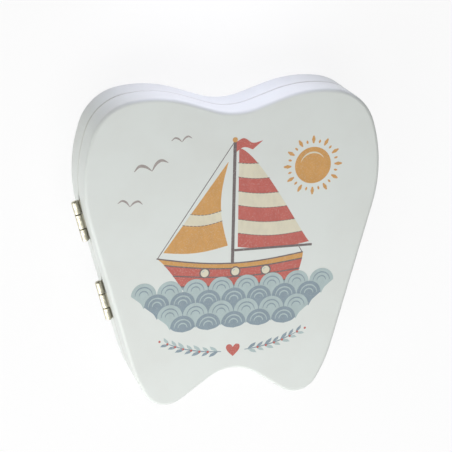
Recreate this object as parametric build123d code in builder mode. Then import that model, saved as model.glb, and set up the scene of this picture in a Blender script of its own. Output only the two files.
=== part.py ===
from build123d import *
from math import asin, atan2, cos, radians, sin, sqrt, tan
import os

# A hinged keepsake box for milk teeth, in the shape of a molar, in millimetres.
# It lies on its back. The origin is in the middle of its back face, +X points to the free
# flank, +Y to the crown and +Z to the lid's face. The hinges are on the -X flank.

# The box
box_width = 122
box_height = 130
board_thickness = 3
frame_thickness = 10
wall_width = 10
parting_gap = 0.4
face_rounding = 1.5
back_rounding = 1.0
rim_easing = 0.6
cutter_radius = 3

# The tooth outline: circles that touch each other, as shares of the tooth's width
crown_reach_share = 0.2805
crown_radius_share = 0.392
corner_radius_share = 0.1665
cheek_radius_share = 0.5105
shoulder_radius_share = 0.497
root_reach_share = 0.2275
root_radius_share = 0.085
valley_depth_share = 0.061
valley_radius_share = 0.2175
arch_rise_share = 0.111
arch_radius_share = 0.1375
# Bearings, in degrees clockwise from the crown, where one circle hands over to the next
crown_bearing = 9
root_bearing = 120.5

# The boards inside
board_recess = 1
board_clearance = 0.2
well_easing = 0.4

# The ring of wells round the curl compartment. Each quarter of it holds the front teeth and
# molars of half a jaw, with a web of wood between two wells and a margin out to the walls
front_teeth = 3
molars = 2
front_well_angle = 16.4
molar_well_angle = (90 - front_teeth * front_well_angle) / molars
well_web = 2.6
ring_margin = 8
curl_width_share = 0.62
curl_height_share = 0.592

# The hinges
hinge_length = 17
hinge_spacing = 35.8
hinge_level_share = -0.028
barrel_diameter = 3
barrel_clearance = 0.2
middle_knuckle_length = 6.2
knuckle_gap = 0.25
knuckle_easing = 0.2
pin_diameter = 1.2
pin_clearance = 0.05
pin_overhang = 0.4
pin_chamfer = 0.2
leaf_width = 6.2
leaf_thickness = 0.7
leaf_corner_radius = 0.8
mortise_clearance = 0.15
mortise_overrun = 1.75

# The hinge screws
screw_head_diameter = 2.6
screw_shank_diameter = 1.3
screw_length = 6
screw_point_length = 1.2
screw_spacing = 10.4
screw_clearance = 0.05
screw_cross_width = 0.45
screw_cross_depth = 0.3
screw_cross_share = 0.7
screw_cone_angle = 90
screw_reach_share = 0.55

# The magnets in the free flank
magnet_diameter = 5
magnet_thickness = 2
magnet_spacing = 36
magnet_clearance = 0.05
magnet_recess = 0.1

# Heights above the table
rim_level = board_thickness + frame_thickness
lid_rim_level = rim_level + parting_gap
lid_ceiling_level = lid_rim_level + frame_thickness
parting_level = rim_level + parting_gap / 2
inner_board_thickness = frame_thickness - board_recess


def bearing(angle):
    """The direction at a bearing in degrees, clockwise from the crown"""
    return Vector(sin(radians(angle)), cos(radians(angle)))


def across_the_middle(place):
    """The same place on the other side of the tooth"""
    return Vector(-place.X, place.Y)


def touching_line(centre_a, radius_a, centre_b, radius_b):
    """Ends of the line that touches two circles, with a negative radius where one is on its left"""
    span = centre_b - centre_a
    heading = atan2(span.Y, span.X) - asin((radius_a - radius_b) / span.length)
    left = Vector(-sin(heading), cos(heading))
    return centre_a + left * radius_a, centre_b + left * radius_b


def tooth_joints(width, height):
    """Where the arcs and lines of the right half meet, from the crown's valley to the arch"""
    crown_radius = width * crown_radius_share
    corner_radius = width * corner_radius_share
    cheek_radius = width * cheek_radius_share
    shoulder_radius = width * shoulder_radius_share
    root_radius = width * root_radius_share
    valley_radius = width * valley_radius_share
    arch_radius = width * arch_radius_share
    valley_bottom = Vector(0, height / 2 - width * valley_depth_share)
    arch_top = Vector(0, width * arch_rise_share - height / 2)

    crown = Vector(width * crown_reach_share, height / 2 - crown_radius)
    corner = crown + bearing(crown_bearing) * (crown_radius - corner_radius)
    cheek_x = width / 2 - cheek_radius
    cheek_drop = sqrt((cheek_radius - corner_radius) ** 2 - (corner.X - cheek_x) ** 2)
    cheek = Vector(cheek_x, corner.Y - cheek_drop)
    root = Vector(width * root_reach_share, root_radius - height / 2)
    shoulder = root - bearing(root_bearing) * (shoulder_radius - root_radius)
    valley = valley_bottom + Vector(0, valley_radius)
    arch = arch_top - Vector(0, arch_radius)

    return (
        valley_bottom,
        *touching_line(valley, -valley_radius, crown, crown_radius),
        crown + bearing(crown_bearing) * crown_radius,
        corner + (corner - cheek).normalized() * corner_radius,
        *touching_line(cheek, cheek_radius, shoulder, shoulder_radius),
        root + bearing(root_bearing) * root_radius,
        *touching_line(root, root_radius, arch, -arch_radius),
        arch_top,
    )


def tooth_face(width, height):
    """The tooth outline as a flat face, centred on its width and height"""
    joints = tooth_joints(width, height)
    # The rise to the crown, the straight flank and the climb to the arch are lines
    straight_starts = (joints[1], joints[5], joints[8])
    with BuildSketch() as face:
        with BuildLine():
            heading = Vector(1, 0)
            for start, end in zip(joints, joints[1:]):
                if start in straight_starts:
                    stretch = Line(start, end)
                else:
                    stretch = TangentArc(start, end, tangent=heading)
                heading = stretch % 1
            mirror(about=Plane.YZ)
        make_face()
    return face.sketch


def cavity_face(clearance):
    """The space inside the walls, with corners that a router can cut, drawn in by a clearance"""
    with BuildSketch() as face:
        add(outer_face)
        offset(amount=-(wall_width + cutter_radius))
        offset(amount=cutter_radius - clearance)
    return face.sketch


outer_face = tooth_face(box_width, box_height)

# The straight flank on the hinge side and its directions
flank_crown_end, flank_root_end = [
    across_the_middle(end) for end in tooth_joints(box_width, box_height)[5:7]
]
flank_up = (flank_crown_end - flank_root_end).normalized()
flank_inward = flank_up.rotate(Axis.Z, -90)


def flank_place(level):
    """The place on the hinge flank at a level between root and crown"""
    return flank_root_end + flank_up * ((level - flank_root_end.Y) / flank_up.Y)


# The ring of wells, an ellipse between the two flanks and between the crown's valley and the arch
valley_bottom, *_, arch_top = tooth_joints(box_width, box_height)
ring_centre = (valley_bottom + arch_top) / 2
ring_reach = -flank_place(ring_centre.Y).X - wall_width / flank_inward.X - ring_margin
ring_rise = (valley_bottom - arch_top).length / 2 - wall_width - ring_margin
ring_radius = min(ring_reach, ring_rise)
curl_face = tooth_face(2 * ring_radius * curl_width_share, 2 * ring_radius * curl_height_share)


def tooth_wells():
    """Centre and diameter of each well, from the incisors to the molars in all four quarters"""
    wells = []
    passed = 0
    for angle in [front_well_angle] * front_teeth + [molar_well_angle] * molars:
        diameter = radians(angle) * ring_radius - well_web
        middle = passed + angle / 2
        for place in (middle, -middle, 180 - middle, 180 + middle):
            heading = bearing(place)
            reach = Vector(heading.X * ring_reach, heading.Y * ring_rise)
            wells.append((ring_centre + reach, diameter))
        passed += angle
    return wells


# The hinges stand on the flank, and the magnets face them in the other one
flank_middle = flank_place(box_height * hinge_level_share)
barrel_offset = barrel_diameter / 2 + barrel_clearance
hinge_middle = flank_middle - flank_inward * barrel_offset
hinge_centres = {
    "upper": hinge_middle + flank_up * (hinge_spacing / 2),
    "lower": hinge_middle - flank_up * (hinge_spacing / 2),
}
wall_middle = flank_middle + flank_inward * (wall_width / 2)
magnet_centres = [
    across_the_middle(wall_middle + flank_up * (side * magnet_spacing / 2)) for side in (1, -1)
]


def mating_plane(centre, half):
    """The plane of a half's rim at a place on the flank, facing the other half"""
    level, facing = {"tray": (rim_level, 1), "lid": (lid_rim_level, -1)}[half]
    return Plane(
        origin=Vector(centre.X, centre.Y, level),
        x_dir=flank_inward,
        z_dir=(0, 0, facing),
    )


def barrel_plane(centre):
    """The plane across a hinge's barrel, halfway along it"""
    return Plane(
        origin=Vector(centre.X, centre.Y, parting_level),
        x_dir=flank_inward,
        z_dir=flank_up,
    )


def screw_places(centre, half):
    """The planes of a leaf's two screws, at the leaf's face"""
    middle = centre + flank_inward * (barrel_offset + leaf_width * screw_reach_share)
    return [
        mating_plane(middle + flank_up * (side * screw_spacing / 2), half) for side in (1, -1)
    ]


def frame(half):
    """One half's side wall, with its mortises, pilot holes and magnet pockets"""
    base_level, facing = {"tray": (board_thickness, 1), "lid": (lid_ceiling_level, -1)}[half]
    with BuildPart() as wall:
        with BuildSketch(Plane.XY.offset(base_level)):
            add(outer_face)
            add(cavity_face(0), mode=Mode.SUBTRACT)
        extrude(amount=facing * frame_thickness)
        rim = wall.faces().filter_by(Axis.Z).sort_by(Axis.Z)[-1 if facing > 0 else 0]
        fillet(rim.edges(), rim_easing)
        for centre in hinge_centres.values():
            with BuildSketch(mating_plane(centre, half)):
                RectangleRounded(
                    barrel_offset + leaf_width + mortise_clearance,
                    hinge_length + 2 * mortise_overrun,
                    leaf_corner_radius,
                    align=(Align.MIN, Align.CENTER),
                )
            extrude(amount=-leaf_thickness, mode=Mode.SUBTRACT)
            for place in screw_places(centre, half):
                with BuildSketch(place):
                    Circle(screw_shank_diameter / 2 + screw_clearance)
                extrude(amount=-(screw_length + screw_clearance), mode=Mode.SUBTRACT)
        for centre in magnet_centres:
            with BuildSketch(mating_plane(centre, half)):
                Circle(magnet_diameter / 2 + magnet_clearance)
            extrude(amount=-(magnet_thickness + magnet_recess), mode=Mode.SUBTRACT)
    return wall.part


def hinge_leaf(centre, half):
    """A leaf let into one half's rim: the tray's has the outer knuckles, the lid's the middle one"""
    leaf_plane = mating_plane(centre, half)
    far_end = leaf_plane.from_local_coords(Vector(barrel_offset + leaf_width, 0))
    outer_length = (hinge_length - middle_knuckle_length) / 2 - knuckle_gap
    outer_start = hinge_length / 2 - outer_length
    knuckles = {
        "tray": ((-hinge_length / 2, outer_length), (outer_start, outer_length)),
        "lid": ((-middle_knuckle_length / 2, middle_knuckle_length),),
    }[half]
    with BuildPart() as leaf:
        with BuildSketch(leaf_plane):
            with Locations((barrel_offset, 0)):
                Rectangle(leaf_width, hinge_length, align=(Align.MIN, Align.CENTER))
        extrude(amount=-leaf_thickness)
        far_edges = leaf.edges().filter_by(Axis.Z).sort_by_distance(far_end)[:2]
        fillet(far_edges, leaf_corner_radius)
        for start, length in knuckles:
            with BuildSketch(barrel_plane(centre).offset(start)):
                Circle(barrel_diameter / 2)
            extrude(amount=length)
            chamfer(leaf.edges(Select.LAST).filter_by(GeomType.CIRCLE), knuckle_easing)
            with BuildSketch(leaf_plane):
                with Locations((0, (start + length / 2) * (1 if half == "tray" else -1))):
                    Rectangle(barrel_offset, length, align=(Align.MIN, Align.CENTER))
            extrude(amount=-leaf_thickness)
        with BuildSketch(barrel_plane(centre).offset(-hinge_length / 2)):
            Circle(pin_diameter / 2 + pin_clearance)
        extrude(amount=hinge_length, mode=Mode.SUBTRACT)
        for place in screw_places(centre, half):
            with Locations(place.location):
                CounterSinkHole(
                    radius=screw_shank_diameter / 2 + screw_clearance,
                    counter_sink_radius=screw_head_diameter / 2 + screw_clearance,
                    depth=leaf_thickness,
                    counter_sink_angle=screw_cone_angle,
                )
    return leaf.part


def hinge_screws(centre, half):
    """A leaf's two countersunk wood screws, with a cross in each head"""
    head_radius = screw_head_diameter / 2
    shank_radius = screw_shank_diameter / 2
    cone_depth = (head_radius - shank_radius) / tan(radians(screw_cone_angle / 2))
    with BuildPart() as screws:
        for place in screw_places(centre, half):
            with BuildSketch(Plane(origin=place.origin, x_dir=place.x_dir, z_dir=-place.y_dir)):
                with BuildLine():
                    Polyline(
                        (0, 0),
                        (head_radius, 0),
                        (shank_radius, -cone_depth),
                        (shank_radius, screw_point_length - screw_length),
                        (0, -screw_length),
                        close=True,
                    )
                make_face()
            revolve(axis=Axis(place.origin, place.z_dir))
        for place in screw_places(centre, half):
            with BuildSketch(place):
                Rectangle(screw_head_diameter, screw_cross_width)
                Rectangle(screw_cross_width, screw_head_diameter)
                Circle(head_radius * screw_cross_share, mode=Mode.INTERSECT)
            extrude(amount=-screw_cross_depth, mode=Mode.SUBTRACT)
    return screws.part


def hinge_pin(centre):
    """A hinge's pin, a little longer than the barrel"""
    pin_length = hinge_length + 2 * pin_overhang
    with BuildPart() as pin:
        with BuildSketch(barrel_plane(centre).offset(-pin_length / 2)):
            Circle(pin_diameter / 2)
        extrude(amount=pin_length)
        chamfer(pin.edges(), pin_chamfer)
    return pin.part


def magnets(half):
    """One half's pair of disc magnets, sunk a little below the rim"""
    with BuildPart() as discs:
        for centre in magnet_centres:
            with BuildSketch(mating_plane(centre, half).offset(-magnet_recess)):
                Circle(magnet_diameter / 2)
            extrude(amount=-magnet_thickness)
    return discs.part


pieces = {}

with BuildPart() as back_board:
    with BuildSketch():
        add(outer_face)
    extrude(amount=board_thickness)
    fillet(back_board.faces().sort_by(Axis.Z)[0].edges(), back_rounding)
pieces["back_board"] = back_board.part

with BuildPart() as face_board:
    with BuildSketch(Plane.XY.offset(lid_ceiling_level)):
        add(outer_face)
    extrude(amount=board_thickness)
    fillet(face_board.faces().sort_by(Axis.Z)[-1].edges(), face_rounding)
pieces["face_board"] = face_board.part

with BuildPart() as tooth_insert:
    with BuildSketch(Plane.XY.offset(board_thickness)):
        add(cavity_face(board_clearance))
        for centre, diameter in tooth_wells():
            with Locations(centre):
                Circle(diameter / 2, mode=Mode.SUBTRACT)
        with Locations(ring_centre):
            add(curl_face, mode=Mode.SUBTRACT)
    extrude(amount=inner_board_thickness)
    chamfer(tooth_insert.faces().sort_by(Axis.Z)[-1].edges(), well_easing)
pieces["tooth_insert"] = tooth_insert.part

with BuildPart() as lid_panel:
    with BuildSketch(Plane.XY.offset(lid_ceiling_level)):
        add(cavity_face(board_clearance))
        with Locations(ring_centre):
            add(curl_face, mode=Mode.SUBTRACT)
    extrude(amount=-inner_board_thickness)
    chamfer(lid_panel.faces().sort_by(Axis.Z)[0].edges(), well_easing)
pieces["lid_panel"] = lid_panel.part

for half in ("tray", "lid"):
    pieces[f"{half}_frame"] = frame(half)
    pieces[f"{half}_magnets"] = magnets(half)
    for name, centre in hinge_centres.items():
        pieces[f"{name}_{half}_leaf"] = hinge_leaf(centre, half)
        pieces[f"{name}_{half}_screws"] = hinge_screws(centre, half)
for name, centre in hinge_centres.items():
    pieces[f"{name}_hinge_pin"] = hinge_pin(centre)

os.makedirs("parts", exist_ok=True)
for name, piece in pieces.items():
    piece.label = name
    export_step(piece, f"parts/{name}.step")
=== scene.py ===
"""Dresses a packed milk tooth box: painted boards, a printed lid, bare wood and old hinges"""

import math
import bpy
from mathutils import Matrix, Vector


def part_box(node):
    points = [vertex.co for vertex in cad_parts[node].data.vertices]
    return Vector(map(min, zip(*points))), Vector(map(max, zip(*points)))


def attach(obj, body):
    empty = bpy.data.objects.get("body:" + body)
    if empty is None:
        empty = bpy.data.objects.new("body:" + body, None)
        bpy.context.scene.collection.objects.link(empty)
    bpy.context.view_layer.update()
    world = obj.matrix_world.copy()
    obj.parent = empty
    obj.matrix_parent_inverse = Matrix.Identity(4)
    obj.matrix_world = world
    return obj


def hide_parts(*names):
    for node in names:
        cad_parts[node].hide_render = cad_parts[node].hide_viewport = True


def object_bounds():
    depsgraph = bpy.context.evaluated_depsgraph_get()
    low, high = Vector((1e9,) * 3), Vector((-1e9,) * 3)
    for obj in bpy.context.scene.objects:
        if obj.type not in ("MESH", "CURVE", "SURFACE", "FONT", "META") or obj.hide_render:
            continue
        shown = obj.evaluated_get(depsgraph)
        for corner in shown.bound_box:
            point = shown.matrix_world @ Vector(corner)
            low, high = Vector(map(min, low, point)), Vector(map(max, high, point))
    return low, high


bl_info = {
    "name": "Milk Tooth Box",
    "version": (1, 0, 0),
    "blender": (4, 5, 0),
    "location": "3D View > Sidebar > Tooth Box",
    "description": "Gives a milk tooth box its paint, print, wood and metal, and a plain studio",
    "category": "Object",
}

import bmesh
import bpy
from bpy.props import FloatProperty, FloatVectorProperty, PointerProperty
from mathutils import Matrix, Vector
from mathutils.geometry import interpolate_bezier

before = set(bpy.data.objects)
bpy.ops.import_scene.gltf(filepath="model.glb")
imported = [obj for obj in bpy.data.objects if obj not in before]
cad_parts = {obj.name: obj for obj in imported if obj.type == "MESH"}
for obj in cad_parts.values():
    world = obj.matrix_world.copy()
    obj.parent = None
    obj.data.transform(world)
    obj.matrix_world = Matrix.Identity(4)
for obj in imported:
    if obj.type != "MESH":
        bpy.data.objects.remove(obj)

MM = 0.001
BOX_LOW, BOX_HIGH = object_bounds()
PARTING_LEVEL = (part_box("tray_frame")[1].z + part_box("lid_frame")[0].z) / 2
# Layers of ink that the picture may pile up, each of which lifts its shapes above the last
INK_LAYERS = 14
# Width of the camera's sensor in mm, to which its focal length belongs
SENSOR_WIDTH = 36


def linear(hex_colour):
    """An sRGB hex colour as linear red, green and blue"""
    parts = [int(hex_colour[i:i + 2], 16) / 255 for i in (0, 2, 4)]
    return tuple(p / 12.92 if p <= 0.04045 else ((p + 0.055) / 1.055) ** 2.4 for p in parts)


def colour_property(name, hex_colour, description):
    """A colour that a user may change, with an sRGB hex colour to start from"""
    return FloatVectorProperty(
        name=name,
        description=description,
        subtype="COLOR",
        size=3,
        min=0,
        max=1,
        default=linear(hex_colour),
    )


def length_property(name, millimetres, description):
    """A length that a user may change, with millimetres to start from"""
    return FloatProperty(
        name=name,
        description=description,
        unit="LENGTH",
        subtype="DISTANCE",
        precision=5,
        default=millimetres * MM,
    )


def power_property(name, watts, description):
    """A lamp's power"""
    return FloatProperty(name=name, description=description, unit="POWER", default=watts)


def angle_property(name, degrees, description):
    """An angle that a user may change, with degrees to start from"""
    return FloatProperty(
        name=name, description=description, subtype="ANGLE", default=math.radians(degrees)
    )


class StudioSettings(bpy.types.PropertyGroup):
    """The camera, the lamps and the floor"""

    camera_azimuth: angle_property("Camera azimuth", 16.40, "How far it stands to the hinge side")
    camera_elevation: angle_property("Camera tilt", 18.77, "How far it stands to the crown side")
    camera_roll: angle_property("Camera roll", 0.84, "Turn about its line of sight")
    camera_distance: length_property("Camera distance", 673.3, "From the lens to the lid")
    camera_lens: FloatProperty(
        name="Lens",
        description=f"Focal length in mm, on a sensor {SENSOR_WIDTH} mm wide",
        default=134.2,
    )
    aim_across: length_property("Aim across", -3.70, "Where the camera looks at, across the lid")
    aim_along: length_property("Aim along", 10.97, "Where the camera looks at, along the lid")
    floor_reach: length_property("Floor", 3000, "From its middle to each edge")
    floor_colour: colour_property("Floor colour", "F2F2F2", "Pale table under the box")
    floor_white: FloatProperty(
        name="Floor white", description="Share of plain white in the seen floor", default=0.88
    )
    crown_lamp: power_property("Crown lamp", 0.028, "Power of the small lamp near the crown")
    hinge_lamp: power_property("Hinge lamp", 3.3, "Power of the lamp past the hinges")
    face_lamp: power_property("Face lamp", 2.8, "Power of the high lamp past the roots")
    sky_low: FloatProperty(name="Sky at the horizon", description="Its strength", default=0.41)
    sky_high: FloatProperty(name="Sky overhead", description="Its strength", default=0.28)
    ceiling: FloatProperty(
        name="Ceiling", description="Strength of the sky overhead in shiny metal", default=0.32
    )


class PaintSettings(bpy.types.PropertyGroup):
    """The satin paint on the boards"""

    colour: colour_property("Paint", "DDE2DE", "Colour of the satin paint")
    handled: colour_property("Handled paint", "CFD0CA", "Colour where hands and rims rub it")
    peel: length_property("Orange peel", 1.5, "Width of the ripples that the spray gun leaves")


class PrintSettings(bpy.types.PropertyGroup):
    """The inks of the picture on the lid, and its sizes"""

    coral: colour_property("Coral", "BE6258", "Hull, mainsail, pennant, heart and berries")
    ochre: colour_property("Ochre", "CF9B58", "Sun, jib and highest strake")
    cream: colour_property("Cream", "DCD6BF", "Stripes of the sails, portholes and the sun's glow")
    mist: colour_property("Mist", "AEBFBF", "Pale waves, lower leaves and glints")
    slate: colour_property("Slate", "8798A2", "Dark waves, upper leaves, stems and lowest strake")
    taupe: colour_property("Taupe", "6E6463", "Mast, boom, ropes, seams and rings")
    mauve: colour_property("Mauve", "A09793", "Gulls")
    ink_thickness: length_property("Ink", 0.01, "Thickness of one printed layer")
    line_width: length_property("Line", 0.55, "Width of a drawn line")
    hull_length: length_property("Hull", 62, "From the bow to the stern")
    mast_height: length_property("Mast", 46, "From the deck's level to its top")
    sun_radius: length_property("Sun", 7.6, "Radius of its disc")
    wave_radius: length_property("Wave", 5.2, "Radius of one wave's crest")


class WoodSettings(bpy.types.PropertyGroup):
    """The bare boards inside"""

    pale: colour_property("Early wood", "E4CFA8", "Colour between the growth lines")
    dark: colour_property("Late wood", "CDAE7E", "Colour of the growth lines")
    pore: colour_property("Pores", "A5835A", "Colour of the fine pores")
    growth: length_property("Growth", 7, "Width of the growth bands across the grain")


class MetalSettings(bpy.types.PropertyGroup):
    """The hinges and the small metal pieces"""

    # The rubbed colour shows on open sides, which is partly painted light, and the patina's near
    # walls, which is partly painted shade
    brass: colour_property("Rubbed brass", "DCD8C4", "Colour where hands rub the hinges")
    patina_and_shade: colour_property("Patina", "A5A192", "Colour of the antiqued brass")
    steel: colour_property("Steel", "98948A", "Colour of the screws")
    # The dark in the screws' crosses is dirt in part and painted shade in part
    grime_and_shade: colour_property("Grime", "3A362C", "Colour of the dirt in the screws' crosses")
    nickel: colour_property("Nickel", "D9D8D4", "Colour of the magnets' plating")
    # Reach of the ambient occlusion that paints the metal darker near walls: painted shade, and
    # patina in hollows
    shade_reach: length_property("Hollows", 3.0, "How near a wall keeps the brass dark")


def add_node(tree, kind, settings=None, inputs=None):
    """Adds a node with its settings, and with a value or a link for each of these inputs, which
    go by their identifiers"""
    node = tree.nodes.new(kind)
    for name, value in (settings or {}).items():
        setattr(node, name, value)
    sockets = {socket.identifier: socket for socket in node.inputs}
    for key, value in (inputs or {}).items():
        if isinstance(value, bpy.types.NodeSocket):
            tree.links.new(value, sockets[key])
        else:
            sockets[key].default_value = value
    return node


def new_material(name):
    """An empty material, its node tree and the coordinates that its patterns follow"""
    material = bpy.data.materials.new(name)
    material.use_nodes = True
    tree = material.node_tree
    tree.nodes.clear()
    place = add_node(tree, "ShaderNodeTexCoord").outputs["Object"]
    return material, tree, place


def end_material(tree, inputs):
    """Ends a material's tree in a surface with these inputs"""
    surface = add_node(tree, "ShaderNodeBsdfPrincipled", inputs=inputs)
    add_node(tree, "ShaderNodeOutputMaterial", inputs={"Surface": surface.outputs["BSDF"]})


def satin_paint(settings):
    """Satin paint sprayed on sanded fibreboard: a chalky white, a little green, whose low sheen
    breaks up in a fine orange peel. Where hands and the closing rims rub it, it is warmer and
    shinier"""
    cloud_width, peel_depth = 26 * MM, 0.02 * MM
    rim_reach, rim_wear = 0.7 * MM, 0.8
    fresh_rough, rubbed_rough = 0.47, 0.38
    material, tree, place = new_material("satin_paint")
    peel = add_node(
        tree,
        "ShaderNodeTexNoise",
        inputs={"Vector": place, "Scale": 1 / settings.peel, "Detail": 2.0},
    )
    clouds = add_node(
        tree,
        "ShaderNodeTexNoise",
        inputs={"Vector": place, "Scale": 1 / cloud_width, "Detail": 3.0, "Roughness": 0.6},
    )
    parts = add_node(tree, "ShaderNodeSeparateXYZ", inputs={"Vector": place})
    from_rim = add_node(
        tree,
        "ShaderNodeMath",
        settings={"operation": "COMPARE"},
        inputs={"Value": parts.outputs["Z"], "Value_001": PARTING_LEVEL, "Value_002": rim_reach},
    )
    rubbed = add_node(
        tree,
        "ShaderNodeMapRange",
        inputs={"Value": clouds.outputs["Fac"], "From Min": 0.4, "From Max": 0.75, "To Max": 0.3},
    )
    worn = add_node(
        tree,
        "ShaderNodeMath",
        settings={"operation": "MULTIPLY_ADD", "use_clamp": True},
        inputs={
            "Value": from_rim.outputs["Value"],
            "Value_001": rim_wear,
            "Value_002": rubbed.outputs["Result"],
        },
    )
    colour = add_node(
        tree,
        "ShaderNodeMix",
        settings={"data_type": "RGBA"},
        inputs={
            "Factor_Float": worn.outputs["Value"],
            "A_Color": (*settings.colour, 1),
            "B_Color": (*settings.handled, 1),
        },
    )
    sheen = add_node(
        tree,
        "ShaderNodeMapRange",
        inputs={"Value": worn.outputs["Value"], "To Min": fresh_rough, "To Max": rubbed_rough},
    )
    bump = add_node(
        tree,
        "ShaderNodeBump",
        inputs={"Height": peel.outputs["Fac"], "Strength": 0.2, "Distance": peel_depth},
    )
    end_material(
        tree,
        {
            "Base Color": colour.outputs["Result"],
            "Roughness": sheen.outputs["Result"],
            "Normal": bump.outputs["Normal"],
        },
    )
    return material


def printing_ink(name, colour):
    """Opaque screen ink over a painted picture: matt and chalky, with the gouache's soft clouds
    and dry strokes in it, and a fine grain where the board's paint shows through. The grain is
    drawn coarser than the screen's, so that it shows"""
    cloud_width, stroke_width, grain_width = 5 * MM, 1.6 * MM, 0.3 * MM
    stroke_turn = math.radians(35)
    paint_below = linear("D9D8D0")
    material, tree, place = new_material(f"{name}_ink")
    clouds = add_node(
        tree,
        "ShaderNodeTexNoise",
        inputs={"Vector": place, "Scale": 1 / cloud_width, "Detail": 3.0},
    )
    turned = add_node(
        tree,
        "ShaderNodeMapping",
        inputs={"Vector": place, "Rotation": (0, 0, stroke_turn), "Scale": (1, 0.4, 1)},
    )
    strokes = add_node(
        tree,
        "ShaderNodeTexNoise",
        inputs={"Vector": turned.outputs["Vector"], "Scale": 1 / stroke_width, "Detail": 2.0},
    )
    grain = add_node(
        tree,
        "ShaderNodeTexNoise",
        inputs={"Vector": place, "Scale": 1 / grain_width, "Detail": 1.0},
    )
    uneven = add_node(
        tree,
        "ShaderNodeMath",
        settings={"operation": "ADD"},
        inputs={"Value": clouds.outputs["Fac"], "Value_001": strokes.outputs["Fac"]},
    )
    shade = add_node(
        tree,
        "ShaderNodeMapRange",
        inputs={
            "Value": uneven.outputs["Value"],
            "From Min": 0.7,
            "From Max": 1.3,
            "To Min": 0.95,
            "To Max": 1.05,
        },
    )
    shaded = add_node(
        tree,
        "ShaderNodeVectorMath",
        settings={"operation": "SCALE"},
        inputs={"Vector": colour, "Scale": shade.outputs["Result"]},
    )
    thin = add_node(
        tree,
        "ShaderNodeMapRange",
        inputs={"Value": grain.outputs["Fac"], "From Min": 0.58, "From Max": 0.8, "To Max": 0.5},
    )
    inked = add_node(
        tree,
        "ShaderNodeMix",
        settings={"data_type": "RGBA"},
        inputs={
            "Factor_Float": thin.outputs["Result"],
            "A_Color": shaded.outputs["Vector"],
            "B_Color": (*paint_below, 1),
        },
    )
    end_material(tree, {"Base Color": inked.outputs["Result"], "Roughness": 0.6})
    return material


def printing_inks(settings):
    """The inks of the picture, by name"""
    names = ("coral", "ochre", "cream", "mist", "slate", "taupe", "mauve")
    return {
        name: bpy.data.materials.get(f"{name}_ink") or printing_ink(name, getattr(settings, name))
        for name in names
    }


def bare_poplar(settings):
    """Bare poplar, planed and sanded: pale cream wood with soft growth lines that wander along the
    grain, short dark pores, and a dry, dull surface. The pores are drawn coarser than poplar's,
    so that they show"""
    pore_width, pore_depth = 0.45 * MM, 0.04 * MM
    # Draws the patterns out along the grain, which runs from the crown to the roots
    grain_shape = (1.0, 0.07, 1.6)
    # The noise's step from one growth line to the next, and the share of it that stays pale
    line_step, pale_part = 0.05, 0.24
    material, tree, place = new_material("bare_poplar")
    along = add_node(tree, "ShaderNodeMapping", inputs={"Vector": place, "Scale": grain_shape})
    bands = add_node(
        tree,
        "ShaderNodeTexNoise",
        inputs={
            "Vector": along.outputs["Vector"],
            "Scale": 0.25 / settings.growth,
            "Detail": 2.0,
            "Distortion": 0.3,
        },
    )
    counted = add_node(
        tree,
        "ShaderNodeMath",
        settings={"operation": "PINGPONG"},
        inputs={"Value": bands.outputs["Fac"], "Value_001": line_step},
    )
    growth = add_node(
        tree,
        "ShaderNodeMapRange",
        settings={"interpolation_type": "SMOOTHSTEP"},
        inputs={
            "Value": counted.outputs["Value"],
            "From Min": line_step * pale_part,
            "From Max": line_step,
            "To Max": 0.8,
        },
    )
    fibres = add_node(
        tree,
        "ShaderNodeTexNoise",
        inputs={"Vector": along.outputs["Vector"], "Scale": 1 / pore_width, "Detail": 3.0},
    )
    pores = add_node(
        tree,
        "ShaderNodeMapRange",
        inputs={
            "Value": fibres.outputs["Fac"],
            "From Min": 0.62,
            "From Max": 0.74,
            "To Max": 0.55,
        },
    )
    wood = add_node(
        tree,
        "ShaderNodeMix",
        settings={"data_type": "RGBA"},
        inputs={
            "Factor_Float": growth.outputs["Result"],
            "A_Color": (*settings.pale, 1),
            "B_Color": (*settings.dark, 1),
        },
    )
    pored = add_node(
        tree,
        "ShaderNodeMix",
        settings={"data_type": "RGBA"},
        inputs={
            "Factor_Float": pores.outputs["Result"],
            "A_Color": wood.outputs["Result"],
            "B_Color": (*settings.pore, 1),
        },
    )
    bump = add_node(
        tree,
        "ShaderNodeBump",
        inputs={"Height": fibres.outputs["Fac"], "Strength": 0.3, "Distance": pore_depth},
    )
    end_material(
        tree,
        {
            "Base Color": pored.outputs["Result"],
            "Roughness": 0.62,
            "Normal": bump.outputs["Normal"],
        },
    )
    return material


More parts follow.
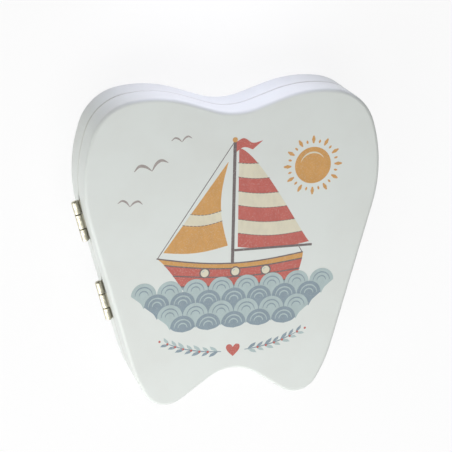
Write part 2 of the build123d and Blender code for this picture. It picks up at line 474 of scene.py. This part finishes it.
def old_metal(name, rubbed, dull, blotch, shade_reach, roughness):
    """A metal that has dulled: its blotches are darker and rougher than the places that hands and
    moving pieces rub. An ambient occlusion mask also paints it darker and rougher near walls and
    in hollows, which is patina in part and painted shade in part, and paints open flats brighter
    and more even, which is wear in part and painted light in part. The roughness is that of the
    dull and of the rubbed metal"""
    pit_depth = 0.03 * MM
    material, tree, place = new_material(name)
    blotches = add_node(
        tree,
        "ShaderNodeTexNoise",
        inputs={"Vector": place, "Scale": 1 / blotch, "Detail": 3.0, "Roughness": 0.5},
    )
    # Painted shade: the ambient occlusion darkens the metal near walls and in hollows, besides the
    # patina that gathers there
    shade_and_patina = add_node(
        tree,
        "ShaderNodeAmbientOcclusion",
        settings={"samples": 8},
        inputs={"Distance": shade_reach},
    )
    unshaded = add_node(
        tree,
        "ShaderNodeMapRange",
        inputs={"Value": shade_and_patina.outputs["AO"], "From Min": 0.5, "From Max": 0.95},
    )
    # Open flats are painted at least this bright, which is wear in part and painted light in part
    least_rubbed_and_lit = add_node(
        tree,
        "ShaderNodeMapRange",
        inputs={"Value": unshaded.outputs["Result"], "From Min": 0.97, "To Max": 0.6},
    )
    open_metal = add_node(
        tree,
        "ShaderNodeMapRange",
        inputs={
            "Value": blotches.outputs["Fac"],
            "From Min": 0.42,
            "From Max": 0.58,
            "To Min": least_rubbed_and_lit.outputs["Result"],
        },
    )
    # Painted shade and patina: the metal is kept dull where walls are near
    bright = add_node(
        tree,
        "ShaderNodeMath",
        settings={"operation": "MULTIPLY"},
        inputs={"Value": open_metal.outputs["Result"], "Value_001": unshaded.outputs["Result"]},
    )
    colour = add_node(
        tree,
        "ShaderNodeMix",
        settings={"data_type": "RGBA"},
        inputs={
            "Factor_Float": bright.outputs["Value"],
            "A_Color": (*dull, 1),
            "B_Color": (*rubbed, 1),
        },
    )
    rough = add_node(
        tree,
        "ShaderNodeMapRange",
        inputs={"Value": bright.outputs["Value"], "To Min": roughness[0], "To Max": roughness[1]},
    )
    bump = add_node(
        tree,
        "ShaderNodeBump",
        inputs={"Height": blotches.outputs["Fac"], "Strength": 0.25, "Distance": pit_depth},
    )
    end_material(
        tree,
        {
            "Base Color": colour.outputs["Result"],
            "Metallic": 1.0,
            "Roughness": rough.outputs["Result"],
            "Normal": bump.outputs["Normal"],
        },
    )
    return material


def dress(node, material):
    """Gives a node of the frame its material"""
    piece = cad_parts[node]
    piece.data.materials.clear()
    piece.data.materials.append(material)


def merged_copy(node):
    """A node's mesh with its loose triangles merged, which keeps its true surface's shading"""
    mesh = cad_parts[node].data.copy()
    kept = mesh.attributes.new("true_normal", "FLOAT_VECTOR", "CORNER")
    for corner, place in zip(mesh.corner_normals, kept.data):
        place.vector = corner.vector
    shape = bmesh.new()
    shape.from_mesh(mesh)
    bmesh.ops.remove_doubles(shape, verts=shape.verts, dist=0.001 * MM)
    shape.to_mesh(mesh)
    shape.free()
    kept = mesh.attributes["true_normal"]
    mesh.normals_split_custom_set([tuple(place.vector) for place in kept.data])
    mesh.attributes.remove(kept)
    return mesh


def smooth_line(points, steps=10):
    """A smooth line through given points"""
    points = [Vector(point) for point in points]
    first = 2 * points[0] - points[1]
    last = 2 * points[-1] - points[-2]
    known = [first, *points, last]
    line = [points[0]]
    for before, start, end, after in zip(known, known[1:], known[2:], known[3:]):
        leaving = start + (end - before) / 6
        arriving = end - (after - start) / 6
        line += interpolate_bezier(start, leaving, arriving, end, steps + 1)[1:]
    return line


def arc(centre, radius, start, end, steps=24):
    """A line round a centre, from one bearing to another, clockwise from straight up"""
    line = []
    for step in range(steps + 1):
        turn = math.radians(start + (end - start) * step / steps)
        line.append(Vector(centre) + radius * Vector((math.sin(turn), math.cos(turn))))
    return line


def disc(centre, radius, steps=24, start=0):
    """The outline of a disc, clockwise from this bearing"""
    return arc(centre, radius, start, start + 360, steps)[:-1]


def brush_stroke(line, width, tip_share=1.0):
    """The outline of a stroke along a line, with ends as wide as this share of its middle"""
    left, right = [], []
    for index, place in enumerate(line):
        before = line[max(index - 1, 0)]
        after = line[min(index + 1, len(line) - 1)]
        across = (after - before).normalized().orthogonal()
        press = tip_share + (1 - tip_share) * math.sin(math.pi * index / (len(line) - 1))
        left.append(place + across * width * press / 2)
        right.append(place - across * width * press / 2)
    return left + right[::-1]


def seam_line(left_edge, right_edge, sag, height, steps=16):
    """A line that sags across a shape with these edges, at a share of its height"""
    left, right = left_edge(height), right_edge(height)
    line = []
    for step in range(steps + 1):
        share = step / steps
        drop = Vector((0, sag(height) * math.sin(math.pi * share)))
        line.append(left.lerp(right, share) - drop)
    return line


def plank(left_edge, right_edge, sag, low, high, steps=16):
    """The outline between two seams of a shape with these edges"""
    heights = [low + (high - low) * step / steps for step in range(1, steps)]
    rise = [right_edge(height) for height in heights]
    fall = [left_edge(height) for height in reversed(heights)]
    start = seam_line(left_edge, right_edge, sag, low)
    end = seam_line(left_edge, right_edge, sag, high)
    return start + rise + end[::-1] + fall


class Picture:
    """Gathers closed slabs of ink on the lid's face into one piece, layer upon layer"""

    def __init__(self, name, settings):
        self.mesh = bmesh.new()
        self.name = name
        self.inks = printing_inks(settings)
        self.used = []
        self.thickness = settings.ink_thickness
        self.ground = BOX_HIGH.z - INK_LAYERS * self.thickness

    def slab(self, outline, layer):
        """A closed slab from just inside the board to its layer's height"""
        slab = bmesh.new()
        levels = (self.ground - self.thickness, self.ground + layer * self.thickness)
        bottom, top = ([slab.verts.new((x, y, level)) for x, y in outline] for level in levels)
        slab.faces.new(bottom)
        slab.faces.new(top)
        for index in range(len(outline)):
            slab.faces.new((bottom[index - 1], bottom[index], top[index], top[index - 1]))
        bmesh.ops.recalc_face_normals(slab, faces=slab.faces)
        mesh = bpy.data.meshes.new("slab")
        slab.to_mesh(mesh)
        slab.free()
        return mesh

    def take_in(self, mesh, ink):
        """Adds a mesh in one ink"""
        if ink not in self.used:
            self.used.append(ink)
        known = len(self.mesh.faces)
        self.mesh.from_mesh(mesh)
        self.mesh.faces.ensure_lookup_table()
        for face in self.mesh.faces[known:]:
            face.material_index = self.used.index(ink)
        bpy.data.meshes.remove(mesh)

    def draw(self, outline, ink, layer):
        """Prints one shape"""
        self.take_in(self.slab(outline, layer), ink)

    def repeat(self, outline, ink, layer, line, count, closed=False, smallest=1.0):
        """Prints copies of a shape along a line, turned with it, some as small as this share"""
        stamp = self.slab(outline, layer)
        self.take_in(repeat_along(stamp, self.inks[ink], line, count, closed, smallest), ink)

    def hand_over(self):
        """Makes the piece, which rides on the lid"""
        mesh = bpy.data.meshes.new(self.name)
        bmesh.ops.recalc_face_normals(self.mesh, faces=self.mesh.faces)
        self.mesh.to_mesh(mesh)
        self.mesh.free()
        for ink in self.used:
            mesh.materials.append(self.inks[ink])
        piece = bpy.data.objects.new(self.name, mesh)
        bpy.context.scene.collection.objects.link(piece)
        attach(piece, "lid")


def stamping_tree():
    """Sets copies of a stamp along a line at even steps, each turned with the line"""
    tree = bpy.data.node_groups.new("stamps_along_a_line", "GeometryNodeTree")
    tree.is_modifier = True
    kinds = {
        "Line": "Geometry",
        "Stamp": "Object",
        "Count": "Int",
        "Smallest": "Float",
        "Ink": "Material",
    }
    for name, kind in kinds.items():
        tree.interface.new_socket(name, in_out="INPUT", socket_type=f"NodeSocket{kind}")
    tree.interface.new_socket("Print", in_out="OUTPUT", socket_type="NodeSocketGeometry")
    given = add_node(tree, "NodeGroupInput").outputs
    places = add_node(
        tree,
        "GeometryNodeCurveToPoints",
        settings={"mode": "COUNT"},
        inputs={"Curve": given["Line"], "Count": given["Count"]},
    )
    turned = add_node(
        tree,
        "FunctionNodeAlignRotationToVector",
        settings={"axis": "X", "pivot_axis": "Z"},
        inputs={"Vector": places.outputs["Tangent"]},
    )
    size = add_node(
        tree,
        "FunctionNodeRandomValue",
        settings={"data_type": "FLOAT"},
        inputs={"Min_001": given["Smallest"], "Max_001": 1.0, "Seed": 4},
    )
    flat_size = add_node(
        tree,
        "ShaderNodeCombineXYZ",
        inputs={"X": size.outputs["Value"], "Y": size.outputs["Value"], "Z": 1.0},
    )
    stamp = add_node(
        tree,
        "GeometryNodeObjectInfo",
        settings={"transform_space": "ORIGINAL"},
        inputs={"Object": given["Stamp"]},
    )
    stamped = add_node(
        tree,
        "GeometryNodeInstanceOnPoints",
        inputs={
            "Points": places.outputs["Points"],
            "Instance": stamp.outputs["Geometry"],
            "Rotation": turned.outputs["Rotation"],
            "Scale": flat_size.outputs["Vector"],
        },
    )
    real = add_node(
        tree, "GeometryNodeRealizeInstances", inputs={"Geometry": stamped.outputs["Instances"]}
    )
    inked = add_node(
        tree,
        "GeometryNodeSetMaterial",
        inputs={"Geometry": real.outputs["Geometry"], "Material": given["Ink"]},
    )
    output = add_node(tree, "NodeGroupOutput")
    tree.links.new(inked.outputs["Geometry"], output.inputs["Print"])
    return tree


def repeat_along(stamp_mesh, material, line, count, closed, smallest):
    """A plain mesh of the stamps that the tree sets along a line"""
    collection = bpy.context.scene.collection
    stamp = bpy.data.objects.new("stamp", stamp_mesh)
    curve = bpy.data.curves.new("line", "CURVE")
    curve.dimensions = "3D"
    spline = curve.splines.new("POLY")
    spline.points.add(len(line) - 1)
    for point, place in zip(spline.points, line):
        point.co = (*place, 0, 1)
    spline.use_cyclic_u = closed
    carrier = bpy.data.objects.new("line", curve)
    collection.objects.link(stamp)
    collection.objects.link(carrier)
    tree = bpy.data.node_groups.get("stamps_along_a_line") or stamping_tree()
    modifier = carrier.modifiers.new("stamps", "NODES")
    modifier.node_group = tree
    given = {"Stamp": stamp, "Count": count, "Smallest": smallest, "Ink": material}
    for name, value in given.items():
        modifier[tree.interface.items_tree[name].identifier] = value
    evaluated = carrier.evaluated_get(bpy.context.evaluated_depsgraph_get())
    mesh = bpy.data.meshes.new_from_object(evaluated)
    carrier.modifiers.remove(modifier)
    for helper in (carrier, stamp):
        bpy.data.objects.remove(helper)
    bpy.data.meshes.remove(stamp_mesh)
    bpy.data.curves.remove(curve)
    return mesh


class TOOTHBOX_OT_stage(bpy.types.Operator):
    """Sets the floor, the lamps and the camera"""

    bl_idname = "tooth_box.stage"
    bl_label = "Studio"

    def execute(self, context):
        settings = context.scene.tooth_box_studio
        self.add_floor(context, settings)
        self.add_lamps(context, settings)
        self.add_sky(context, settings)
        self.add_camera(context, settings)
        context.scene.view_settings.view_transform = "Standard"
        return {"FINISHED"}

    def seen_ray(self, tree):
        """1 for a ray from the camera, or one that a shiny surface sends on, and 0 for light"""
        rays = add_node(tree, "ShaderNodeLightPath").outputs
        seen = add_node(
            tree,
            "ShaderNodeMath",
            settings={"operation": "MAXIMUM"},
            inputs={"Value": rays["Is Camera Ray"], "Value_001": rays["Is Glossy Ray"]},
        )
        return seen.outputs["Value"]

    def add_floor(self, context, settings):
        """A plain pale table, near white where it is seen, which keeps the box's soft shadow"""
        reach = settings.floor_reach
        mesh = bpy.data.meshes.new("floor")
        corners = [(-reach, -reach, 0), (reach, -reach, 0), (reach, reach, 0), (-reach, reach, 0)]
        mesh.from_pydata(corners, [], [(0, 1, 2, 3)])
        floor = bpy.data.objects.new("floor", mesh)
        context.scene.collection.objects.link(floor)
        material, tree, _ = new_material("pale_table")
        share = add_node(
            tree,
            "ShaderNodeMath",
            settings={"operation": "MULTIPLY"},
            inputs={"Value": self.seen_ray(tree), "Value_001": settings.floor_white},
        )
        table = add_node(
            tree, "ShaderNodeBsdfDiffuse", inputs={"Color": (*settings.floor_colour, 1)}
        )
        white = add_node(tree, "ShaderNodeEmission")
        mixed = add_node(
            tree,
            "ShaderNodeMixShader",
            inputs={
                "Fac": share.outputs["Value"],
                "Shader": table.outputs["BSDF"],
                "Shader_001": white.outputs["Emission"],
            },
        )
        add_node(tree, "ShaderNodeOutputMaterial", inputs={"Surface": mixed.outputs["Shader"]})
        mesh.materials.append(material)

    def add_lamps(self, context, settings):
        """Three soft lamps: a small, cool one near the crown, one past the hinges and the roots,
        and a high one past the roots. Their places and sizes are in metres, from the box's
        middle, and their spreads in degrees"""
        centre = (BOX_LOW + BOX_HIGH) / 2
        cool, white = "E9E6FF", "FFFFFF"
        lamps = (
            ("crown_lamp", (0.0, 0.15, 0.01), (0.06, 0.03), 110, settings.crown_lamp, cool),
            ("hinge_lamp", (-0.52, -0.44, 0.38), (0.5, 0.4), 180, settings.hinge_lamp, white),
            ("face_lamp", (0.03, -0.38, 0.62), (0.6, 0.4), 180, settings.face_lamp, white),
        )
        for name, place, size, spread, power, colour in lamps:
            data = bpy.data.lights.new(name, "AREA")
            data.shape = "RECTANGLE"
            data.size, data.size_y = size
            data.spread = math.radians(spread)
            data.energy = power
            data.color = linear(colour)
            lamp = bpy.data.objects.new(name, data)
            context.scene.collection.objects.link(lamp)
            lamp.location = centre + Vector(place)
            lamp.rotation_euler = Vector(place).to_track_quat("Z", "Y").to_euler()
            # The near one would show in views from the roots
            lamp.visible_camera = False

    def add_sky(self, context, settings):
        """An even sky, darker overhead. The camera and shiny metal see it as a white backdrop low
        down, and as the studio's dim ceiling high up"""
        world = bpy.data.worlds.new("studio_sky")
        context.scene.world = world
        world.use_nodes = True
        tree = world.node_tree
        tree.nodes.clear()
        direction = add_node(tree, "ShaderNodeTexCoord").outputs["Generated"]
        parts = add_node(tree, "ShaderNodeSeparateXYZ", inputs={"Vector": direction})
        # The horizon is at 0 and the zenith at 1
        backdrop_top, dim_start = 0.3, 0.85
        height = add_node(
            tree,
            "ShaderNodeMapRange",
            settings={"interpolation_type": "SMOOTHSTEP"},
            inputs={"Value": parts.outputs["Z"], "From Min": backdrop_top, "From Max": dim_start},
        ).outputs["Result"]
        light = add_node(
            tree,
            "ShaderNodeMapRange",
            inputs={"Value": height, "To Min": settings.sky_low, "To Max": settings.sky_high},
        )
        seen = add_node(
            tree,
            "ShaderNodeMapRange",
            inputs={"Value": height, "To Min": 1.0, "To Max": settings.ceiling},
        )
        strength = add_node(
            tree,
            "ShaderNodeMix",
            settings={"data_type": "FLOAT"},
            inputs={
                "Factor_Float": self.seen_ray(tree),
                "A_Float": light.outputs["Result"],
                "B_Float": seen.outputs["Result"],
            },
        )
        sky = add_node(
            tree,
            "ShaderNodeBackground",
            inputs={"Strength": strength.outputs["Result"]},
        )
        add_node(tree, "ShaderNodeOutputWorld", inputs={"Surface": sky.outputs["Background"]})

    def add_camera(self, context, settings):
        """The camera over the lid, a little to the hinge side and the crown side"""
        azimuth, elevation = settings.camera_azimuth, settings.camera_elevation
        back = Vector(
            (
                -math.sin(azimuth) * math.cos(elevation),
                math.sin(elevation),
                math.cos(azimuth) * math.cos(elevation),
            )
        )
        level = Vector((math.cos(azimuth), 0, math.sin(azimuth)))
        right = Matrix.Rotation(settings.camera_roll, 3, back) @ level
        up = back.cross(right)
        target = Vector((settings.aim_across, settings.aim_along, BOX_HIGH.z))
        data = bpy.data.cameras.new("camera")
        data.lens = settings.camera_lens
        data.sensor_width = SENSOR_WIDTH
        camera = bpy.data.objects.new("camera", data)
        context.scene.collection.objects.link(camera)
        turned = Matrix((right, up, back)).transposed().to_4x4()
        camera.matrix_world = Matrix.Translation(target + back * settings.camera_distance) @ turned
        context.scene.camera = camera


class TOOTHBOX_OT_painted_boards(bpy.types.Operator):
    """Paints the boards and the frames, and makes room for the ink on the lid's face"""

    bl_idname = "tooth_box.painted_boards"
    bl_label = "Painted boards"

    def execute(self, context):
        scene = context.scene
        paint = satin_paint(scene.tooth_box_paint)
        for node in ("back_board", "tray_frame", "lid_frame"):
            dress(node, paint)
        ink = INK_LAYERS * scene.tooth_box_print.ink_thickness
        low, high = (corner.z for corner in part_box("face_board"))
        mesh = merged_copy("face_board")
        for vertex in mesh.vertices:
            vertex.co.z = low + (vertex.co.z - low) * (high - low - ink) / (high - low)
        mesh.materials.clear()
        mesh.materials.append(paint)
        piece = bpy.data.objects.new("printed_face", mesh)
        scene.collection.objects.link(piece)
        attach(piece, "lid")
        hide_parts("face_board")
        return {"FINISHED"}


class TOOTHBOX_OT_boat(bpy.types.Operator):
    """Prints the sailing boat"""

    bl_idname = "tooth_box.boat"
    bl_label = "Boat"

    def execute(self, context):
        settings = context.scene.tooth_box_print
        length, mast, line = settings.hull_length, settings.mast_height, settings.line_width
        # Level of the sails' lower edges, from the deck's
        foot = mast * 0.035
        picture = Picture("print_boat", settings)
        self.draw_hull(picture, length, line)
        self.draw_sails(picture, length, mast, foot, line)
        self.draw_rig(picture, length, mast, foot, line)
        picture.hand_over()
        return {"FINISHED"}

    def draw_hull(self, picture, length, line):
        """Planks from the sheer down to the keel, with their seams and three portholes"""
        # The hull's ends and how far its seams sag, at a share of the way down
        def bow(drop):
            return length * Vector((-0.52 + 0.21 * drop ** 0.8, -0.01 - 0.29 * drop))

        def stern(drop):
            return length * Vector((0.47 - 0.08 * drop ** 1.6, -0.045 - 0.255 * drop))

        def sag(drop):
            return length * 0.055 * (1 - drop)

        seams = (0.0, 0.17, 0.44, 0.71, 1.0)
        for top, bottom, ink in zip(seams, seams[1:], ("ochre", "coral", "coral", "slate")):
            picture.draw(plank(bow, stern, sag, top, bottom), ink, 1)
        for drop in seams[:-1]:
            seam = seam_line(bow, stern, sag, drop)
            picture.draw(brush_stroke(seam, line), "taupe", 2)
        level, shares = 0.29, (0.27, 0.5, 0.73)
        dip = Vector((0, sag(level) * 0.9))
        portholes = [bow(level).lerp(stern(level), share) - dip for share in shares]
        for radius, ink, layer in ((0.036, "taupe", 3), (0.027, "cream", 4)):
            picture.repeat(disc((0, 0), length * radius), ink, layer, portholes, len(shares))
        glint = brush_stroke(arc((0, 0), length * 0.016, -80, 0, 8), line * 0.8, 0.2)
        picture.repeat(glint, "mist", 5, portholes, len(shares))

    def draw_sails(self, picture, length, mast, foot, line):
        """A striped mainsail, and a jib with one stripe"""
        head = mast * 0.93

        # The sails' edges and how far their seams sag, at a share of the way up
        def luff(height):
            return Vector((length * 0.022, foot + (head - foot) * height))

        def leech(height):
            out = length * 0.48 * (1 - height) ** 0.72
            return Vector((length * 0.03 + out, foot + (head - foot) * height ** 1.12))

        def sag(height):
            return mast * 0.035 * (1 - height)

        stripes = 7
        for stripe in range(stripes):
            low, high = stripe / stripes, (stripe + 1) / stripes
            ink = "cream" if stripe % 2 else "coral"
            picture.draw(plank(luff, leech, sag, low, high), ink, 2)
        for stripe in range(1, stripes):
            height = stripe / stripes
            self.stitch(picture, seam_line(luff, leech, sag, height), line)

        def stay(height):
            return Vector((-length * (0.045 + 0.43 * (1 - height)), foot + mast * 0.79 * height))

        def jib_leech(height):
            belly = length * 0.05 * math.sin(math.pi * height)
            return Vector((-length * 0.045 - belly, foot * 1.6 + mast * 0.77 * height))

        seams = (0, 0.3, 0.42, 0.985)
        for low, high, ink in zip(seams, seams[1:], ("ochre", "cream", "ochre")):
            picture.draw(plank(stay, jib_leech, sag, low, high), ink, 2)
        for height in seams[1:-1]:
            self.stitch(picture, seam_line(stay, jib_leech, sag, height), line)

    def draw_rig(self, picture, length, mast, foot, line):
        """The mast with its pennant, the boom and the ropes"""
        top = Vector((-length * 0.006, mast))
        step = Vector((-length * 0.012, -length * 0.0815))
        pole = [step, step.lerp(top, 0.5), top]
        picture.draw(brush_stroke(pole, length * 0.021), "taupe", 4)
        boom = [Vector((0, foot * 0.2)), Vector((length * 0.53, foot * 0.1))]
        picture.draw(brush_stroke(boom, length * 0.016), "taupe", 3)
        bow, stern = (-0.515, -0.012), (0.465, -0.045)
        for end in (bow, stern):
            rope = [top, length * Vector(end)]
            picture.draw(brush_stroke(rope, line * 0.6), "taupe", 1)
        knob = disc(top + Vector((0, length * 0.008)), length * 0.017)
        picture.draw(knob, "ochre", 5)
        upper = ((0.008, -0.01), (0.08, 0.02), (0.16, -0.026), (0.25, -0.01))
        lower = ((0.16, -0.085), (0.08, -0.06), (0.008, -0.1))
        pennant = []
        for edge in (upper, lower):
            pennant += smooth_line([top + mast * Vector(place) for place in edge])
        picture.draw(pennant, "coral", 3)

    def stitch(self, picture, seam, line):
        """A row of short stitches along a seam"""
        span = sum((end - start).length for start, end in zip(seam, seam[1:]))
        pitch = line * 2.6
        dash = [Vector((-line, 0)), Vector((line, 0))]
        inset = [seam[0].lerp(seam[1], 0.4), *seam[1:-1], seam[-1].lerp(seam[-2], 0.4)]
        count = max(2, round(span / pitch))
        picture.repeat(brush_stroke(dash, line * 0.5), "taupe", 3, inset, count)


class TOOTHBOX_OT_sea(bpy.types.Operator):
    """Prints the rows of waves"""

    bl_idname = "tooth_box.sea"
    bl_label = "Sea"

    def execute(self, context):
        settings = context.scene.tooth_box_print
        radius, line = settings.wave_radius, settings.line_width
        picture = Picture("print_sea", settings)
        deep = self.wave(radius, ((1, 0), (0.6, -0.33), (0.25, -0.65), (0, -1.1)))
        shallow = self.wave(radius, ((1, 0), (0.62, -0.26), (0, -0.4)))
        ripples = [
            brush_stroke(arc((0, 0), radius * share, -90, 90), line, 0.4) for share in (0.68, 0.36)
        ]
        pitch, row_pitch = radius * 2.06, radius * 0.98
        surface = -settings.hull_length * 0.255
        # The boat takes the layers below this one
        first_layer = 6
        rows = (
            (8, deep, "mist", "slate"),
            (7, deep, "slate", "mist"),
            (6, deep, "mist", "slate"),
            (5, shallow, "slate", "mist"),
        )
        for row, (count, wave, ink, ripple_ink) in enumerate(rows):
            reach = pitch * (count - 1) / 2
            level = surface - row * row_pitch
            places = [Vector((x, level)) for x in (-reach, 0, reach)]
            layer = first_layer + 2 * row
            picture.repeat(wave, ink, layer, places, count)
            for ripple in ripples:
                picture.repeat(ripple, ripple_ink, layer + 1, places, count)
        picture.hand_over()
        return {"FINISHED"}

    def wave(self, radius, foot):
        """A round crest over a foot, whose right half is given in shares of the radius"""
        right = smooth_line([radius * Vector(place) for place in foot])
        left = [Vector((-place.x, place.y)) for place in reversed(right)]
        return arc((0, 0), radius, -90, 90) + right[1:] + left[1:-1]


class TOOTHBOX_OT_sky_print(bpy.types.Operator):
    """Prints the sun and the gulls"""

    bl_idname = "tooth_box.sky_print"
    bl_label = "Sun and gulls"

    def execute(self, context):
        settings = context.scene.tooth_box_print
        picture = Picture("print_sky", settings)
        self.draw_sun(picture, settings.sun_radius, settings.line_width)
        self.draw_gulls(picture, settings.line_width)
        picture.hand_over()
        return {"FINISHED"}

    def draw_sun(self, picture, radius, line):
        """A disc with a glow in it, and long and short rays in turn"""
        centre = Vector((BOX_HIGH.x * 0.53, BOX_HIGH.y * 0.52))
        picture.draw(disc(centre, radius, 48), "ochre", 1)
        glow = arc(centre, radius * 0.7, -75, 60, 20)
        picture.draw(brush_stroke(glow, line * 1.3, 0.1), "cream", 2)
        rays = 12
        half_step = 180 / rays
        for start, end, width, turn in ((0.2, 0.62, 0.2, 0), (0.22, 0.42, 0.13, half_step)):
            ray = [Vector((0, radius * share)) for share in (start, (start + end) / 2, end)]
            stroke = brush_stroke(ray, radius * width, 0.35)
            edge = disc(centre, radius, 64, turn)
            picture.repeat(stroke, "ochre", 1, edge, rays, closed=True)

    def draw_gulls(self, picture, line):
        """Three gulls, each of two strokes, with places in mm and turns in degrees"""
        wing = ((0, 0), (2.2, 2.4), (4.6, 3.2), (7, 1.6))
        gulls = ((-34, 36, 1.0, 12), (-43, 22, 0.72, -6), (-22, 47, 0.6, 4))
        for x, y, size, turn in gulls:
            spin = Matrix.Rotation(math.radians(turn), 2)
            for layer, side in ((1, 1), (2, -1)):
                points = [spin @ Vector((side * p, q)) * size * MM for p, q in wing]
                points = [point + Vector((x, y)) * MM for point in points]
                stroke = brush_stroke(smooth_line(points), line * 2.2 * size, 0.2)
                picture.draw(stroke, "mauve", layer)


class TOOTHBOX_OT_sprigs(bpy.types.Operator):
    """Prints the heart between two leafy sprigs, under the boat"""

    bl_idname = "tooth_box.sprigs"
    bl_label = "Heart and sprigs"

    def execute(self, context):
        settings = context.scene.tooth_box_print
        line = settings.line_width
        picture = Picture("print_sprigs", settings)
        level = BOX_LOW.y * 0.665
        half_heart = ((0, 1.5), (1.1, 2.7), (2.5, 2.5), (2.9, 1.1), (1.9, -0.7), (0, -2.6))
        right = self.line_in_mm(half_heart)
        left = [Vector((-p.x, p.y)) for p in right[-2:0:-1]]
        heart = [p + Vector((0, level)) for p in right + left]
        picture.draw(heart, "coral", 1)
        leaf = self.line_in_mm(((0, 0.2), (1.6, 1.75), (3.9, 2.5)))
        leaf += self.line_in_mm(((3.2, 1.0), (1.8, 0.35), (0.6, 0.1)))
        leaf_below = [Vector((p.x, -p.y)) for p in leaf]
        # A berry sits on the stem, this far past its leaves
        berry_reach = 4.3 * MM
        berry = disc((berry_reach, 0), line * 0.9, 14)
        right_stem = self.line_in_mm(((5, -0.1), (12, 0.6), (20, 2.4), (27, 5.2)))
        leaves = 7
        for side in (1, -1):
            stem = [Vector((side * p.x, p.y + level)) for p in right_stem]
            picture.draw(brush_stroke(stem, line, 0.6), "slate", 1)
            for shape, ink in ((leaf, "slate"), (leaf_below, "mist")):
                picture.repeat(shape, ink, 2, stem[2:], leaves, smallest=0.8)
            picture.repeat(berry, "coral", 3, stem[2:], leaves)
        picture.hand_over()
        return {"FINISHED"}

    def line_in_mm(self, points):
        """A smooth line through points in mm"""
        return smooth_line([Vector(point) * MM for point in points])


class TOOTHBOX_OT_bare_boards(bpy.types.Operator):
    """Gives the boards inside their bare wood"""

    bl_idname = "tooth_box.bare_boards"
    bl_label = "Bare boards"

    def execute(self, context):
        wood = bare_poplar(context.scene.tooth_box_wood)
        for node in ("tooth_insert", "lid_panel"):
            dress(node, wood)
        return {"FINISHED"}


class TOOTHBOX_OT_hinges(bpy.types.Operator):
    """Gives the hinges, their pins and their screws their old metal"""

    bl_idname = "tooth_box.hinges"
    bl_label = "Hinges"

    def execute(self, context):
        settings = context.scene.tooth_box_metal
        # Brass plate, rolled and dipped to look old: olive grey, pale and warm where it is rubbed,
        # with painted shade as well as patina near the walls
        brass = old_metal(
            "antiqued_brass",
            settings.brass,
            settings.patina_and_shade,
            blotch=1.4 * MM,
            shade_reach=settings.shade_reach,
            roughness=(0.6, 0.42),
        )
        # Plated steel, driven in by hand: grey and smooth, with a cross darkened by dirt and by
        # painted shade
        steel = old_metal(
            "dulled_steel",
            settings.steel,
            settings.grime_and_shade,
            blotch=0.6 * MM,
            shade_reach=0.5 * MM,
            roughness=(0.6, 0.35),
        )
        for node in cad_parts:
            if node.endswith(("_leaf", "_pin")):
                dress(node, brass)
            if node.endswith("_screws"):
                dress(node, steel)
        return {"FINISHED"}


class TOOTHBOX_OT_magnets(bpy.types.Operator):
    """Gives the magnets their nickel"""

    bl_idname = "tooth_box.magnets"
    bl_label = "Magnets"

    def execute(self, context):
        bright = context.scene.tooth_box_metal.nickel
        # Nickel plate over a pressed magnet: bright, faintly warm, with a few cloudy spots and a
        # little painted shade where walls are near
        dull = [part * 0.85 for part in bright]
        nickel = old_metal(
            "nickel_plate",
            bright,
            dull,
            blotch=2.4 * MM,
            shade_reach=0.4 * MM,
            roughness=(0.36, 0.26),
        )
        for node in ("tray_magnets", "lid_magnets"):
            dress(node, nickel)
        return {"FINISHED"}


SETTINGS = {
    "tooth_box_studio": StudioSettings,
    "tooth_box_paint": PaintSettings,
    "tooth_box_print": PrintSettings,
    "tooth_box_wood": WoodSettings,
    "tooth_box_metal": MetalSettings,
}
OPERATORS = (
    TOOTHBOX_OT_painted_boards,
    TOOTHBOX_OT_boat,
    TOOTHBOX_OT_sea,
    TOOTHBOX_OT_sky_print,
    TOOTHBOX_OT_sprigs,
    TOOTHBOX_OT_bare_boards,
    TOOTHBOX_OT_hinges,
    TOOTHBOX_OT_magnets,
    TOOTHBOX_OT_stage,
)


class TOOTHBOX_PT_panel(bpy.types.Panel):
    """Lists the box's pieces and their sizes and colours"""

    bl_label = "Milk Tooth Box"
    bl_idname = "TOOTHBOX_PT_panel"
    bl_space_type = "VIEW_3D"
    bl_region_type = "UI"
    bl_category = "Tooth Box"

    def draw(self, context):
        for operator in OPERATORS:
            self.layout.operator(operator.bl_idname)
        for name, group in SETTINGS.items():
            box = self.layout.box()
            for setting in group.__annotations__:
                box.prop(getattr(context.scene, name), setting)


def register():
    for group in (*SETTINGS.values(), *OPERATORS, TOOTHBOX_PT_panel):
        bpy.utils.register_class(group)
    for name, group in SETTINGS.items():
        setattr(bpy.types.Scene, name, PointerProperty(type=group))


def unregister():
    for name in SETTINGS:
        delattr(bpy.types.Scene, name)
    for group in (TOOTHBOX_PT_panel, *reversed(OPERATORS), *reversed(SETTINGS.values())):
        bpy.utils.unregister_class(group)


def main():
    """Presses each button in order"""
    register()
    bpy.ops.tooth_box.painted_boards()
    bpy.ops.tooth_box.boat()
    bpy.ops.tooth_box.sea()
    bpy.ops.tooth_box.sky_print()
    bpy.ops.tooth_box.sprigs()
    bpy.ops.tooth_box.bare_boards()
    bpy.ops.tooth_box.hinges()
    bpy.ops.tooth_box.magnets()
    bpy.ops.tooth_box.stage()


if __name__ == "__main__":
    main()
